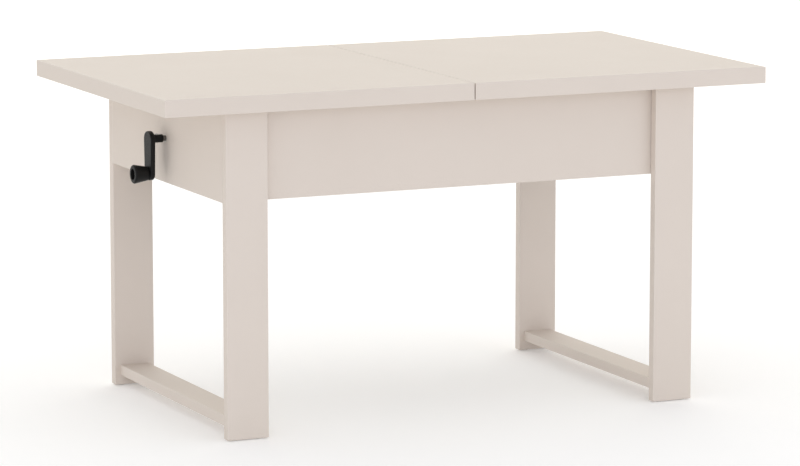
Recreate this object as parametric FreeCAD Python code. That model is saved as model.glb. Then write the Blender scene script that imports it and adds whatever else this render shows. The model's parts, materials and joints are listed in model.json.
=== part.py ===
import FreeCAD, Part
import math
import os

# A coffee table with two top halves that slide apart over a stored leaf, and with a hand
# crank that raises its whole upper box. X runs along the length with the crank at the
# negative end, Y runs from front to back and Z is up. The origin lies on the floor under
# the middle of the top. Sizes are in millimetres, with the top down and closed.

# Top halves and leaf
top_length = 1200.0
top_depth = 670.0
top_thickness = 31.0
table_height = 628.0
seam_gap = 2.0
leaf_top_gap = 7.0
leaf_side_room = 56.0
edge_radius = 1.5
seam_dowel_inset = 115.0
seam_dowel_proud = 12.0
seam_dowel_clearance = 0.4

# Boards and their joints
board = 19.0
dowel_diameter = 8.0
dowel_in_leg = 12.0
dowel_in_board = 20.0
cam_diameter = 15.0
cam_depth = 12.5
cam_inset = 34.0
cam_bolt_diameter = 7.0
cam_bolt_in_leg = 11.0
joint_inset = 18.0

# Leg frames
leg_span = 940.0
leg_overhang = 40.0
leg_width = 80.0
leg_top_gap = 3.0
stretcher_width = 57.0
stretcher_thickness = 20.0
stretcher_height = 20.0
glide_diameter = 14.0
glide_recess = 3.0
glide_proud = 2.0
glide_inset = 16.0

# Lifted box
apron_height = 165.0
apron_top_gap = 1.0
apron_leg_gap = 1.0
panel_drop = 1.0
bearer_height = 12.0
bearer_width = 40.0
bearer_spacing = 500.0
corner_leg = 24.0
corner_thickness = 2.5
corner_gap = 4.0

# Extension slides
slide_width = 30.0
slide_height = 17.0
slide_wall = 2.5
slide_lip = 6.0
slide_top_gap = 4.0
slide_clearance = 0.5
runner_stem = 9.0
runner_seam_inset = 20.0

# Steel frame between the end panels
rail_width = 20.0
rail_height = 30.0
rail_wall = 2.0
rail_lift = 5.0
rail_arm_gap = 2.0
rail_plate_thickness = 3.0
rail_plate_width = 43.0
rail_plate_height = 56.0
rail_stop_gap = 0.3
notch_clearance = 2.0
rail_screw_diameter = 4.5
rail_screw_head = 9.0
rail_screw_head_height = 3.0
rail_screw_depth = 12.0
rail_screw_inset = 10.0
tie_width = 30.0
tie_thickness = 5.0

# Lift arms, torsion shafts, rollers and their channels
lift_travel = 130.0
arm_length = 300.0
arm_thickness = 5.0
arm_hub_radius = 15.0
arm_tip_radius = 12.0
arm_channel_gap = 2.0
shaft_diameter = 14.0
shaft_bearer_gap = 2.0
bearing_plate_thickness = 5.0
bearing_plate_width = 40.0
bearing_plate_margin = 15.0
bush_wall = 2.0
bush_flange_width = 2.5
bush_flange_thickness = 1.5
roller_diameter = 22.0
roller_width = 8.0
roller_pin_diameter = 8.0
channel_depth = 14.0
channel_wall = 2.0
channel_load_gap = 0.4
channel_free_gap = 1.6
channel_end_room = 23.0
running_clearance = 0.05

# Lead screw, nuts and slotted levers
screw_drop = 25.0
screw_diameter = 14.0
screw_lead = 3.0
crank_turns = 9
journal_diameter = 10.0
screw_slot_clearance = 3.0
shoulder_gap = 0.3
nut_length = 28.0
nut_width = 28.0
nut_cover = 6.0
trunnion_diameter = 8.0
trunnion_end = 1.5
lever_gap = 4.0
lever_thickness = 5.0
lever_hub_radius = 14.0
lever_tip_radius = 10.0
slot_clearance = 0.3
slot_end_room = 0.5
pedestal_offset = 70.0
pedestal_length = 20.0
pedestal_width = 32.0
pedestal_cover = 7.0
pedestal_base_width = 64.0
pedestal_base_height = 5.0
collar_diameter = 22.0
collar_length = 8.0
collar_gap = 0.3
crank_bush_wall = 2.0
crank_bush_flange = 24.0
crank_bush_flange_thickness = 3.0

# Telescopic guides between the end panels and the box ends
guide_depth = 14.0
guide_width = 36.0
guide_length = 134.0
guide_wall = 1.5
guide_gap = 0.3
guide_mouth = 3.0
guide_plate_gap = 22.0
guide_lift = 5.0

# Crank and knob
crank_radius = 63.5
crank_shaft_shown = 6.5
crank_boss_diameter = 15.0
crank_boss_length = 20.0
crank_arm_thickness = 9.0
crank_hub_radius = 14.5
crank_tip_radius = 12.8
crank_width_ratio = 1.3
crank_edge_radius = 2.0
crank_cap = 3.0
set_screw_diameter = 5.0
set_screw_proud = 1.5
set_screw_inset = 11.0
knob_length = 29.0
knob_root_diameter = 25.0
knob_rim_diameter = 36.0
knob_rim_radius = 3.0
knob_root_radius = 1.0
knob_recess_diameter = 21.0
knob_recess_depth = 10.0
knob_arm_gap = 0.3
knob_pin_diameter = 8.0
knob_pin_head = 13.0
knob_pin_head_height = 4.0
knob_pin_in_arm = 6.0

# Levels, from the underside of the top downwards
top_underside = table_height - top_thickness
leg_top = top_underside - leg_top_gap
apron_top = top_underside - apron_top_gap
apron_bottom = apron_top - apron_height
panel_bottom = apron_bottom - panel_drop
slide_top = top_underside - slide_top_gap
slide_bottom = slide_top - slide_height
runner_bottom = slide_bottom + slide_wall + slide_clearance
panel_top = leg_top
leaf_top = top_underside - leaf_top_gap
leaf_bottom = leaf_top - top_thickness
bearer_bottom = leaf_bottom - bearer_height
shaft_height = bearer_bottom - shaft_bearer_gap - shaft_diameter / 2
screw_height = shaft_height - screw_drop
rail_bottom = apron_bottom + rail_lift
rail_top = rail_bottom + rail_height
tie_top = rail_top + tie_thickness
seam_dowel_height = top_underside + top_thickness / 2

# Half widths, from the legs inwards
leg_outer = top_depth / 2 - leg_overhang
leg_inner = leg_outer - board
apron_outer = leg_inner - apron_leg_gap
apron_inner = apron_outer - board
leaf_half_width = apron_inner - leaf_side_room
slide_inner = apron_inner - slide_width
channel_inner = apron_inner - channel_depth
arm_outer = channel_inner - arm_channel_gap
arm_inner = arm_outer - arm_thickness
rail_outer = arm_inner - rail_arm_gap
rail_inner = rail_outer - rail_width
rail_plate_inner = rail_outer - rail_plate_width
guide_middle = rail_plate_inner - guide_plate_gap - guide_width / 2
bearing_plate_inner = rail_inner - bearing_plate_thickness
roller_inner = channel_inner + (channel_depth - channel_wall - roller_width) / 2
roller_outer = roller_inner + roller_width
lever_inner = nut_width / 2 + lever_gap
lever_outer = lever_inner + lever_thickness

# Half lengths, from the leg frames inwards
leg_end = leg_span / 2
leg_start = leg_end - leg_width
panel_inner = leg_end - board
box_end_outer = panel_inner - guide_depth
box_end_inner = box_end_outer - board
shaft_offset = box_end_inner - channel_end_room - arm_length
pedestal_middle = shaft_offset + pedestal_offset

# Lift geometry: the arms swing equally below and above the level
half_swing = math.asin(lift_travel / 2 / arm_length)
arm_tip_offset = shaft_offset + arm_length * math.cos(half_swing)
arm_tip_height = shaft_height - lift_travel / 2
nut_travel = screw_lead * crank_turns
lever_drop = nut_travel / 2 / math.tan(half_swing)
lever_reach = lever_drop / math.cos(half_swing)
trunnion_height = shaft_height - lever_drop
nut_offset = shaft_offset - nut_travel / 2

# Crank, along the shaft outwards from the end panel
crank_boss_end = leg_end + crank_shaft_shown
crank_arm_back = crank_boss_end + crank_boss_length
crank_arm_face = crank_arm_back + crank_arm_thickness
knob_start = crank_arm_face + knob_arm_gap
knob_height = screw_height - crank_radius

X = FreeCAD.Vector(1, 0, 0)
Y = FreeCAD.Vector(0, 1, 0)
Z = FreeCAD.Vector(0, 0, 1)
ORIGIN = FreeCAD.Vector(0, 0, 0)
ANGLE_TOLERANCE = 0.01
ENDS = (("left", -1), ("right", 1))
SIDES = (("front", -1), ("back", 1))


def write(name, *shapes):
    shape = shapes[0] if len(shapes) == 1 else Part.makeCompound(list(shapes))
    shape.exportStep(os.path.join("parts", name + ".step"))


def block(x0, x1, y0, y1, z0, z1):
    return Part.makeBox(x1 - x0, y1 - y0, z1 - z0, FreeCAD.Vector(x0, y0, z0))


def rod(diameter, length, start, direction):
    return Part.makeCylinder(diameter / 2, length, FreeCAD.Vector(*start), direction)


def ring(outer, inner, length, start, direction):
    return rod(outer, length, start, direction).cut(rod(inner, length, start, direction))


def profile_along_x(points, x0, x1):
    wire = Part.makePolygon([FreeCAD.Vector(x0, y, z) for y, z in points + points[:1]])
    return Part.Face(wire).extrude(X * (x1 - x0))


def profile_along_z(points, z0, z1):
    wire = Part.makePolygon([FreeCAD.Vector(x, y, z0) for x, y in points + points[:1]])
    return Part.Face(wire).extrude(Z * (z1 - z0))


def eased(solid, direction=None):
    """Round every edge, or only the edges that run along one direction."""
    edges = solid.Edges
    if direction is not None:
        edges = [edge for edge in edges if edge.Curve.Direction.cross(direction).Length < ANGLE_TOLERANCE]
    return solid.makeFillet(edge_radius, edges)


def mirrored(shape, end, side=1):
    """Carry a shape from the right back corner to another corner."""
    if end < 0:
        shape = shape.mirror(ORIGIN, X)
    if side < 0:
        shape = shape.mirror(ORIGIN, Y)
    return shape


def at_corners(shape):
    return [mirrored(shape, end, side) for _, end in ENDS for _, side in SIDES]


def link_face(length, first_radius, second_radius):
    """Outline round two circles on the X axis, with straight tangents between them."""
    lean = math.acos((first_radius - second_radius) / length)

    def on_circle(centre, radius, angle):
        return FreeCAD.Vector(centre + radius * math.cos(angle), radius * math.sin(angle), 0)

    first_up = on_circle(0, first_radius, lean)
    first_down = on_circle(0, first_radius, -lean)
    second_up = on_circle(length, second_radius, lean)
    second_down = on_circle(length, second_radius, -lean)
    first_arc = Part.Arc(first_up, on_circle(0, first_radius, math.pi), first_down)
    second_arc = Part.Arc(second_down, on_circle(length, second_radius, 0), second_up)
    edges = [
        first_arc.toShape(),
        Part.LineSegment(first_down, second_down).toShape(),
        second_arc.toShape(),
        Part.LineSegment(second_up, first_up).toShape(),
    ]
    return Part.Face(Part.Wire(edges))


def upright_link(length, first_radius, second_radius, y0, thickness, lean):
    """Link plate from a pivot at the origin, in the XZ plane, turned by lean about Y."""
    plate = link_face(length, first_radius, second_radius).extrude(Z * thickness)
    plate.rotate(ORIGIN, X, 90)
    plate.translate(Y * (y0 + thickness))
    plate.rotate(ORIGIN, Y, math.degrees(lean))
    return plate


def panel_joint_heights():
    return (panel_bottom + joint_inset, panel_top - joint_inset)


def frame_dowels():
    """Dowels of one corner: two into the end panel and two into the stretcher."""
    middle = leg_end - board / 2
    stretcher_middle = leg_end - leg_width / 2
    spread = stretcher_width / 2 - joint_inset / 2
    level = stretcher_height + stretcher_thickness / 2
    places = [(middle, height) for height in panel_joint_heights()]
    places += [(stretcher_middle - spread, level), (stretcher_middle + spread, level)]
    length = dowel_in_leg + dowel_in_board
    return [rod(dowel_diameter, length, (x, leg_inner - dowel_in_board, z), Y) for x, z in places]


def cam_fittings():
    """Cams and cam bolts of one corner, in the end panel and under the stretcher."""
    panel_level = (panel_bottom + panel_top) / 2
    panel_cam = rod(cam_diameter, cam_depth, (panel_inner, leg_inner - cam_inset, panel_level), X)
    middle = leg_end - leg_width / 2
    stretcher_cam = rod(cam_diameter, cam_depth, (middle, leg_inner - cam_inset, stretcher_height), Z)
    bolt_length = cam_inset - cam_diameter / 2 + cam_bolt_in_leg
    bolt_start = leg_inner - cam_inset + cam_diameter / 2
    level = stretcher_height + stretcher_thickness / 2
    bolts = [
        rod(cam_bolt_diameter, bolt_length, (leg_end - board / 2, bolt_start, panel_level), Y),
        rod(cam_bolt_diameter, bolt_length, (middle, bolt_start, level), Y),
    ]
    return [panel_cam, stretcher_cam], bolts


def foot_glides():
    height = glide_recess + glide_proud
    places = (leg_start + glide_inset, leg_end - glide_inset)
    return [rod(glide_diameter, height, (x, leg_inner + board / 2, 0), Z) for x in places]


def leg(dowels, bolts, glides):
    solid = eased(block(leg_start, leg_end, leg_inner, leg_outer, glide_proud, leg_top))
    return solid.cut(Part.makeCompound(dowels + bolts + glides))


def end_panel(end, dowels, cams, bolts):
    solid = eased(block(panel_inner, leg_end, -leg_inner, leg_inner, panel_bottom, panel_top), Y)
    holes = Part.makeCompound(dowels + cams + bolts)
    solid = solid.cut(holes).cut(mirrored(holes, 1, -1))
    screws = [mirrored(screw, 1, side) for screw in rail_screws() for _, side in SIDES]
    return mirrored(solid.cut(Part.makeCompound(screws)), end)


def stretcher(end, dowels, cams, bolts):
    middle = leg_end - leg_width / 2
    half = stretcher_width / 2
    top = stretcher_height + stretcher_thickness
    solid = eased(block(middle - half, middle + half, -leg_inner, leg_inner, stretcher_height, top), Y)
    holes = Part.makeCompound(dowels + cams + bolts)
    return mirrored(solid.cut(holes).cut(mirrored(holes, 1, -1)), end)


def rail_screws():
    """Two screws of one rail end, through its plate into the end panel."""
    across = rail_plate_inner + rail_screw_inset
    heights = (rail_bottom + rail_screw_inset, rail_bottom + rail_plate_height - rail_screw_inset)
    plate_face = panel_inner - rail_plate_thickness
    screws = []
    for height in heights:
        head = rod(rail_screw_head, rail_screw_head_height, (plate_face, across, height), -X)
        length = rail_plate_thickness + rail_screw_depth
        shank = rod(rail_screw_diameter, length, (plate_face, across, height), X)
        screws.append(head.fuse(shank))
    return screws


def frame_rail(side):
    """Rectangular tube with a screwed plate welded across each end."""
    tube_end = panel_inner - rail_plate_thickness
    tube = block(-tube_end, tube_end, rail_inner, rail_outer, rail_bottom, rail_top)
    bore = block(-tube_end, tube_end, rail_inner + rail_wall, rail_outer - rail_wall,
                 rail_bottom + rail_wall, rail_top - rail_wall)
    plate = block(tube_end, panel_inner, rail_plate_inner, rail_outer,
                  rail_bottom, rail_bottom + rail_plate_height)
    plate = plate.cut(Part.makeCompound(rail_screws()))
    solid = tube.cut(bore).fuse([plate, mirrored(plate, -1)])
    return mirrored(solid, 1, side)


def cross_tie(end):
    half = tie_width / 2
    solid = block(pedestal_middle - half, pedestal_middle + half, -rail_outer, rail_outer, rail_top, tie_top)
    return mirrored(solid, end)


def pedestal(end, bore):
    """Foot, upright and rounded head of a lead screw bearing."""
    start = pedestal_middle - pedestal_length / 2
    stop = pedestal_middle + pedestal_length / 2
    half = pedestal_width / 2
    head = screw_diameter / 2 + pedestal_cover
    foot = block(start, stop, -pedestal_base_width / 2, pedestal_base_width / 2,
                 tie_top, tie_top + pedestal_base_height)
    taper = [(-half, tie_top), (half, tie_top), (head, screw_height), (-head, screw_height)]
    upright = profile_along_x(taper, start, stop)
    cap = rod(2 * head, pedestal_length, (start, 0, screw_height), X)
    hole = rod(bore, pedestal_length, (start, 0, screw_height), X)
    return mirrored(foot.fuse([upright, cap]).cut(hole).removeSplitter(), end)


def bearing_plate():
    """Plate on the inner face of a rail, round-headed about the torsion shaft."""
    half = bearing_plate_width / 2
    plate = block(shaft_offset - half, shaft_offset + half, bearing_plate_inner, rail_inner,
                  rail_bottom, shaft_height)
    head_start = (shaft_offset, bearing_plate_inner, shaft_height)
    head = rod(2 * bearing_plate_margin, bearing_plate_thickness, head_start, Y)
    shoulder = bearing_plate_margin
    neck = block(shaft_offset - half, shaft_offset + half, bearing_plate_inner, rail_inner,
                 shaft_height - shoulder, shaft_height)
    neck_kept = block(shaft_offset - shoulder, shaft_offset + shoulder, bearing_plate_inner, rail_inner,
                      shaft_height - shoulder, shaft_height)
    solid = plate.cut(neck).fuse([neck_kept, head]).removeSplitter()
    return solid.cut(rod(bush_outer(), bearing_plate_thickness, head_start, Y))


def bush_bore():
    return shaft_diameter + 2 * running_clearance


def bush_outer():
    return bush_bore() + 2 * bush_wall


def shaft_bush():
    """Flanged bush in a bearing plate, with its flange towards the middle."""
    start = (shaft_offset, bearing_plate_inner - bush_flange_thickness, shaft_height)
    length = bearing_plate_thickness + bush_flange_thickness
    sleeve = rod(bush_outer(), length, start, Y)
    flange = rod(bush_outer() + 2 * bush_flange_width, bush_flange_thickness, start, Y)
    return sleeve.fuse(flange).cut(rod(bush_bore(), length, start, Y))


def guide_channel(half_width, mouth, back):
    """C section along Z, between two distances from the middle of the table."""
    inside = half_width - guide_wall
    web = back - guide_wall if back > mouth else back + guide_wall
    points = [(mouth, -half_width), (back, -half_width), (back, half_width), (mouth, half_width),
              (mouth, inside), (web, inside), (web, -inside), (mouth, -inside)]
    bottom = panel_bottom + guide_lift
    solid = profile_along_z(points, bottom, bottom + guide_length)
    solid.translate(Y * guide_middle)
    return solid


def guide_members():
    """Outer, middle and inner member of one guide, nested in one another."""
    half = guide_width / 2
    step = guide_wall + guide_gap
    mouth = box_end_outer + guide_mouth
    outer = guide_channel(half, mouth, panel_inner)
    middle = guide_channel(half - step, mouth, panel_inner - step)
    inner_mouth = panel_inner - 2 * step
    inner = guide_channel(half - 2 * step, inner_mouth, box_end_outer)
    return outer, middle, inner


def crank_bush():
    """Flanged bush through the left end panel, with its flange inside."""
    bore = journal_diameter + 2 * running_clearance
    length = board + crank_bush_flange_thickness
    start = (-leg_end, 0, screw_height)
    sleeve = rod(bore + 2 * crank_bush_wall, length, start, X)
    flange = rod(crank_bush_flange, crank_bush_flange_thickness, (-panel_inner, 0, screw_height), X)
    return sleeve.fuse(flange).cut(rod(bore, length, start, X))


def crank_bush_hole():
    outer = journal_diameter + 2 * running_clearance + 2 * crank_bush_wall
    return rod(outer, board, (-leg_end, 0, screw_height), X)


def lead_screw():
    """Screw with a turned-down journal at the crank and at its far bearing."""
    thread_start = -panel_inner + crank_bush_flange_thickness + shoulder_gap
    thread_end = pedestal_middle - pedestal_length / 2 - shoulder_gap
    screw_end = pedestal_middle + pedestal_length / 2 + shoulder_gap
    crank_end = -(crank_arm_face - crank_cap)
    thread = rod(screw_diameter, thread_end - thread_start, (thread_start, 0, screw_height), X)
    journal = rod(journal_diameter, screw_end - crank_end, (crank_end, 0, screw_height), X)
    return thread.fuse(journal)


def thrust_collars():
    """Collars on the screw, one on each side of the left pedestal."""
    reach = pedestal_length / 2 + collar_gap
    starts = (-pedestal_middle - reach - collar_length, -pedestal_middle + reach)
    return [ring(collar_diameter, screw_diameter, collar_length, (x, 0, screw_height), X) for x in starts]


def screw_nut(end):
    """Nut block on the screw, with a trunnion on each side below the screw."""
    half = nut_length / 2
    top = screw_height + screw_diameter / 2 + nut_cover
    bottom = trunnion_height - trunnion_diameter
    solid = eased(block(nut_offset - half, nut_offset + half, -nut_width / 2, nut_width / 2, bottom, top))
    reach = lever_outer + trunnion_end
    solid = solid.fuse(rod(trunnion_diameter, 2 * reach, (nut_offset, -reach, trunnion_height), Y))
    bore = screw_diameter + 2 * running_clearance
    solid = solid.cut(rod(bore, nut_length, (nut_offset - half, 0, screw_height), X))
    return mirrored(solid, end)


def torsion_shaft(end):
    return rod(shaft_diameter, 2 * arm_outer, (end * shaft_offset, -arm_outer, shaft_height), Y)


def lift_arm(end, side):
    """Arm from a torsion shaft out to its roller, hanging below the level by half a swing."""
    arm = upright_link(arm_length, arm_hub_radius, arm_tip_radius, arm_inner, arm_thickness, half_swing)
    arm.translate(FreeCAD.Vector(shaft_offset, 0, shaft_height))
    arm = arm.cut(rod(shaft_diameter, arm_thickness, (shaft_offset, arm_inner, shaft_height), Y))
    arm = arm.cut(rod(roller_pin_diameter, arm_thickness, (arm_tip_offset, arm_inner, arm_tip_height), Y))
    return mirrored(arm, end, side)


def slotted_lever():
    """Lever down from a torsion shaft, with a slot for the trunnion of the nut."""
    slot_width = trunnion_diameter + 2 * slot_clearance
    slot_start = lever_drop - slot_end_room
    slot_end = lever_reach + slot_end_room
    lever = link_face(slot_end, lever_hub_radius, lever_tip_radius)
    slot = link_face(slot_end - slot_start, slot_width / 2, slot_width / 2)
    slot.translate(X * slot_start)
    bore = Part.Face(Part.Wire(Part.makeCircle(shaft_diameter / 2)))
    plate = lever.cut([slot, bore]).extrude(Z * lever_thickness)
    plate.rotate(ORIGIN, X, 90)
    plate.translate(Y * lever_outer)
    plate.rotate(ORIGIN, Y, 90 + math.degrees(half_swing))
    plate.translate(FreeCAD.Vector(shaft_offset, 0, shaft_height))
    return plate


def roller_pin():
    length = roller_outer - arm_inner
    return rod(roller_pin_diameter, length, (arm_tip_offset, arm_inner, arm_tip_height), Y)


def roller():
    bore = roller_pin_diameter + 2 * running_clearance
    start = (arm_tip_offset, roller_inner, arm_tip_height)
    return ring(roller_diameter, bore, roller_width, start, Y)


def channel_top():
    return arm_tip_height + roller_diameter / 2 + channel_load_gap


def roller_channel():
    """Channel on an apron that carries the box on a roller."""
    start = arm_tip_offset - roller_diameter
    top = channel_top()
    bottom = arm_tip_height - roller_diameter / 2 - channel_free_gap
    outer = block(start, box_end_inner, channel_inner, apron_inner, bottom - channel_wall, top + channel_wall)
    return outer.cut(block(start, box_end_inner, channel_inner, apron_inner - channel_wall, bottom, top))


def apron(side):
    solid = block(-box_end_outer, box_end_outer, apron_inner, apron_outer, apron_bottom, apron_top)
    return mirrored(eased(solid), 1, side)


def box_end(end):
    """End board of the lifted box, cut out for the slides, the rails and the screw."""
    solid = block(box_end_inner, box_end_outer, -apron_inner, apron_inner, apron_bottom, apron_top)
    for _, side in SIDES:
        slide_cut = block(box_end_inner, box_end_outer, slide_inner, apron_inner, slide_bottom, apron_top)
        rail_cut = block(box_end_inner, box_end_outer,
                         rail_inner - notch_clearance, rail_outer + notch_clearance,
                         apron_bottom, rail_top + rail_stop_gap)
        solid = solid.cut([mirrored(slide_cut, 1, side), mirrored(rail_cut, 1, side)])
    if end < 0:
        half = screw_diameter / 2 + screw_slot_clearance
        slot = block(box_end_inner, box_end_outer, -half, half, apron_bottom, screw_height)
        slot_top = rod(2 * half, board, (box_end_inner, 0, screw_height), X)
        solid = solid.cut([slot, slot_top])
    return mirrored(solid, end)


def corner_bracket():
    """Angle between an apron and a box end, above the roller channel."""
    thin = corner_thickness
    points = [(box_end_inner, apron_inner), (box_end_inner - corner_leg, apron_inner),
              (box_end_inner - corner_leg, apron_inner - thin), (box_end_inner - thin, apron_inner - thin),
              (box_end_inner - thin, apron_inner - corner_leg), (box_end_inner, apron_inner - corner_leg)]
    return profile_along_z(points, channel_top() + channel_wall + corner_gap, slide_bottom - corner_gap)


def leaf_bearer(end):
    middle = bearer_spacing / 2
    half = bearer_width / 2
    solid = block(middle - half, middle + half, -apron_inner, apron_inner, bearer_bottom, leaf_bottom)
    return mirrored(solid, end)


def seam_dowel_rows():
    outer = top_depth / 2 - seam_dowel_inset
    return (-outer, 0, outer)


def leaf_dowels(diameter):
    """Rods along Y through one long edge of the stored leaf."""
    level = leaf_bottom + top_thickness / 2
    start = leaf_half_width - dowel_in_board
    length = dowel_in_board + seam_dowel_proud
    return [rod(diameter, length, (x, start, level), Y) for x in seam_dowel_rows()]


def stored_leaf():
    """Leaf turned a quarter turn, its long edges along the table."""
    half = leaf_half_width
    solid = eased(block(-top_depth / 2, top_depth / 2, -half, half, leaf_bottom, leaf_top))
    pegs = Part.makeCompound(leaf_dowels(dowel_diameter))
    sockets = Part.makeCompound(leaf_dowels(dowel_diameter + 2 * seam_dowel_clearance))
    return solid.cut(pegs).cut(mirrored(sockets, 1, -1))


def slide_channel(side):
    """Extruded channel on an apron, open upwards between two lips."""
    outer, inner = apron_inner, slide_inner
    wall, lip = slide_wall, slide_lip
    points = [(outer, slide_bottom), (outer, slide_top), (outer - wall - lip, slide_top),
              (outer - wall - lip, slide_top - wall), (outer - wall, slide_top - wall),
              (outer - wall, slide_bottom + wall), (inner + wall, slide_bottom + wall),
              (inner + wall, slide_top - wall), (inner + wall + lip, slide_top - wall),
              (inner + wall + lip, slide_top), (inner, slide_top), (inner, slide_bottom)]
    return mirrored(profile_along_x(points, -box_end_outer, box_end_outer), 1, side)


def runner(end, side):
    """Tee under a half of the top, still whole in the slide channel when the half is drawn out."""
    middle = apron_inner - slide_width / 2
    foot = slide_width / 2 - slide_wall - slide_clearance
    stem = runner_stem / 2
    foot_top = slide_top - slide_wall - slide_clearance
    points = [(middle - foot, runner_bottom), (middle + foot, runner_bottom), (middle + foot, foot_top),
              (middle + stem, foot_top), (middle + stem, top_underside), (middle - stem, top_underside),
              (middle - stem, foot_top), (middle - foot, foot_top)]
    runner_end = box_end_outer - leaf_half_width
    return mirrored(profile_along_x(points, runner_seam_inset, runner_end), end, side)


def seam_dowels(diameter):
    start = -seam_gap / 2 - dowel_in_board
    length = dowel_in_board + seam_gap + seam_dowel_proud
    return [rod(diameter, length, (start, y, seam_dowel_height), X) for y in seam_dowel_rows()]


def top_half(end):
    half = top_depth / 2
    solid = eased(block(seam_gap / 2, top_length / 2, -half, half, top_underside, table_height))
    solid = mirrored(solid, end)
    clearance = 0 if end < 0 else 2 * seam_dowel_clearance
    return solid.cut(Part.makeCompound(seam_dowels(dowel_diameter + clearance)))


def crank_arm():
    """Arm that hangs from the shaft, with its boss towards the end panel."""
    widened = FreeCAD.Matrix()
    widened.scale(1, crank_width_ratio, 1)
    outline = link_face(crank_radius, crank_hub_radius, crank_tip_radius).transformGeometry(widened)
    arm = outline.extrude(Z * crank_arm_thickness)
    arm = arm.makeFillet(crank_edge_radius, arm.Edges)
    arm.rotate(ORIGIN, Y, 90)
    arm.translate(FreeCAD.Vector(-crank_arm_face, 0, screw_height))
    boss = rod(crank_boss_diameter, crank_boss_length + crank_edge_radius,
               (-crank_arm_back - crank_edge_radius, 0, screw_height), X)
    bore = rod(journal_diameter, crank_arm_face - crank_cap - crank_boss_end,
               (-crank_arm_face + crank_cap, 0, screw_height), X)
    screw_hole = rod(set_screw_diameter, crank_boss_diameter,
                     (-crank_boss_end - set_screw_inset, 0, screw_height), Z)
    return arm.fuse(boss).cut([bore, screw_hole, knob_pin()])


def set_screw():
    start = (-crank_boss_end - set_screw_inset, 0, screw_height + journal_diameter / 2)
    length = (crank_boss_diameter - journal_diameter) / 2 + set_screw_proud
    return rod(set_screw_diameter, length, start, Z)


def knob_pin():
    """Shoulder pin from the crank arm through the knob, its head in the recess of the knob."""
    head_start = knob_start + knob_length - knob_recess_depth
    start = crank_arm_face - knob_pin_in_arm
    pin = rod(knob_pin_diameter, head_start - start, (-start, 0, knob_height), -X)
    head_base = (-head_start - knob_arm_gap, 0, knob_height)
    neck = rod(knob_pin_diameter, knob_arm_gap, (-head_start, 0, knob_height), -X)
    return pin.fuse([neck, rod(knob_pin_head, knob_pin_head_height, head_base, -X)])


def knob():
    """Cone that widens outwards, with a recess in its end."""
    solid = Part.makeCone(knob_root_diameter / 2, knob_rim_diameter / 2, knob_length)
    rim = [edge for edge in solid.Edges if edge.BoundBox.ZMin > knob_length / 2]
    root = [edge for edge in solid.Edges if edge.BoundBox.ZMax < knob_length / 2]
    solid = solid.makeFillet(knob_rim_radius, rim).makeFillet(knob_root_radius, root)
    recess = rod(knob_recess_diameter, knob_recess_depth, (0, 0, knob_length - knob_recess_depth), Z)
    bore = rod(knob_pin_diameter + 2 * running_clearance, knob_length, (0, 0, 0), Z)
    solid = solid.cut([recess, bore])
    solid.rotate(ORIGIN, Y, -90)
    solid.translate(FreeCAD.Vector(-knob_start, 0, knob_height))
    return solid


def write_leg_frames():
    dowels = frame_dowels()
    cams, bolts = cam_fittings()
    glides = foot_glides()
    for end_name, end in ENDS:
        for side_name, side in SIDES:
            write("leg_" + side_name + "_" + end_name, mirrored(leg(dowels, bolts, glides), end, side))
        write("stretcher_" + end_name, stretcher(end, dowels, cams, bolts))
    write("end_panel_left", end_panel(-1, dowels, cams, bolts).cut(crank_bush_hole()))
    write("end_panel_right", end_panel(1, dowels, cams, bolts))
    write("frame_dowels", *[piece for dowel in dowels for piece in at_corners(dowel)])
    write("cam_fittings", *[piece for fitting in cams + bolts for piece in at_corners(fitting)])
    write("foot_glides", *[piece for glide in glides for piece in at_corners(glide)])


def write_steel_frame():
    for side_name, side in SIDES:
        write("frame_rail_" + side_name, frame_rail(side))
    write("rail_screws", *[piece for screw in rail_screws() for piece in at_corners(screw)])
    write("cross_ties", *[cross_tie(end) for _, end in ENDS])
    left_pedestal = pedestal(-1, screw_diameter + 2 * running_clearance)
    right_pedestal = pedestal(1, journal_diameter + 2 * running_clearance)
    write("screw_pedestals", left_pedestal, right_pedestal)
    write("bearing_plates", *at_corners(bearing_plate()))
    write("shaft_bushes", *at_corners(shaft_bush()))
    write("crank_bush", crank_bush())


def write_guides():
    outer, middle, inner = guide_members()
    write("guide_outer_members", *at_corners(outer))
    write("guide_middle_members", *at_corners(middle))
    write("guide_inner_members", *at_corners(inner))


def write_crank():
    write("lead_screw", lead_screw())
    write("thrust_collars", *thrust_collars())
    write("crank_arm", crank_arm())
    write("crank_set_screw", set_screw())
    write("crank_knob_pin", knob_pin())
    write("crank_knob", knob())


def write_lift():
    lever = slotted_lever()
    for end_name, end in ENDS:
        write("screw_nut_" + end_name, screw_nut(end))
        write("torsion_shaft_" + end_name, torsion_shaft(end))
        write("slotted_levers_" + end_name, *[mirrored(lever, end, side) for _, side in SIDES])
        write("roller_pins_" + end_name, *[mirrored(roller_pin(), end, side) for _, side in SIDES])
        for side_name, side in SIDES:
            write("lift_arm_" + side_name + "_" + end_name, lift_arm(end, side))
            write("roller_" + side_name + "_" + end_name, mirrored(roller(), end, side))


def write_box():
    for side_name, side in SIDES:
        write("apron_" + side_name, apron(side))
        write("slide_channel_" + side_name, slide_channel(side))
    for end_name, end in ENDS:
        write("box_end_" + end_name, box_end(end))
    write("leaf_bearers", *[leaf_bearer(end) for _, end in ENDS])
    write("roller_channels", *at_corners(roller_channel()))
    write("corner_brackets", *at_corners(corner_bracket()))
    write("stored_leaf", stored_leaf())
    write("leaf_dowels", *leaf_dowels(dowel_diameter))


def write_top():
    for end_name, end in ENDS:
        write("top_half_" + end_name, top_half(end))
        write("runners_" + end_name, *[runner(end, side) for _, side in SIDES])
    write("seam_dowels", *seam_dowels(dowel_diameter))


os.makedirs("parts", exist_ok=True)
write_leg_frames()
write_steel_frame()
write_guides()
write_crank()
write_lift()
write_box()
write_top()
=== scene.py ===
import json
import math

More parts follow.
